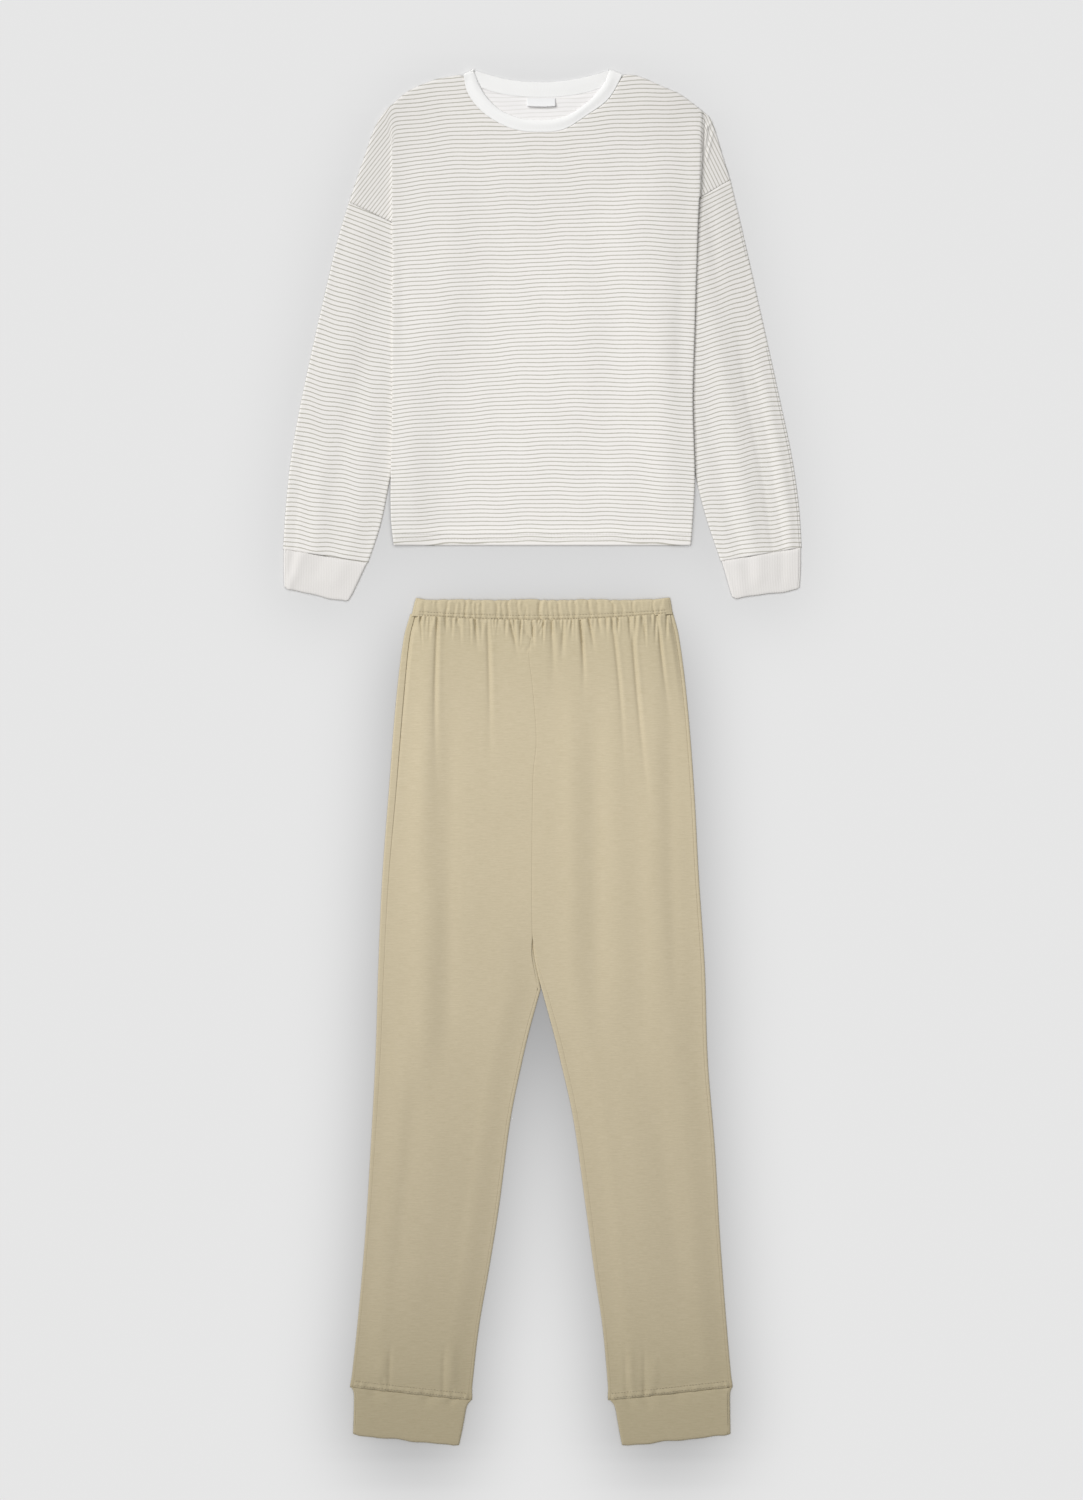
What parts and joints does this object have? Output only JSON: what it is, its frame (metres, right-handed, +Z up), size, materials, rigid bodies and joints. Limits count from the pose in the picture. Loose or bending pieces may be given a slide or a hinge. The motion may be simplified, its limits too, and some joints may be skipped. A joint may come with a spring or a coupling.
{
  "type": "pyjama set",
  "caption": "Two-piece pyjama set laid flat: striped long-sleeved crew-neck top with ribbed neckband and cuffs, above plain trousers with a gathered waistband and ankle cuffs",
  "frame": {"origin": "on the surface that the set lies on, under the middle of its outline", "axes": "+Z up from the surface; +Y from the ankles to the neck; +X to the wearer's left, as the front faces up"},
  "size_m": [0.648, 1.7205, 0.0086],
  "materials": {
    "striped_jersey": "matt single jersey, off-white with narrow grey-beige stripes",
    "white_rib": "matt off-white rib knit",
    "khaki_jersey": "matt heathered khaki jersey",
    "woven_label": "white woven tape, blank"
  },
  "bodies": {
    "root": {"top_front": "striped_jersey", "top_back": "striped_jersey", "sleeve_right": "striped_jersey", "sleeve_left": "striped_jersey", "cuff_right": "white_rib", "cuff_left": "white_rib", "neckband": "white_rib", "neck_label": "woven_label", "trouser_front_right": "khaki_jersey", "trouser_front_left": "khaki_jersey", "trouser_back_right": "khaki_jersey", "trouser_back_left": "khaki_jersey", "waistband": "khaki_jersey", "ankle_cuff_right": "khaki_jersey", "ankle_cuff_left": "khaki_jersey"}
  },
  "joints": []
}
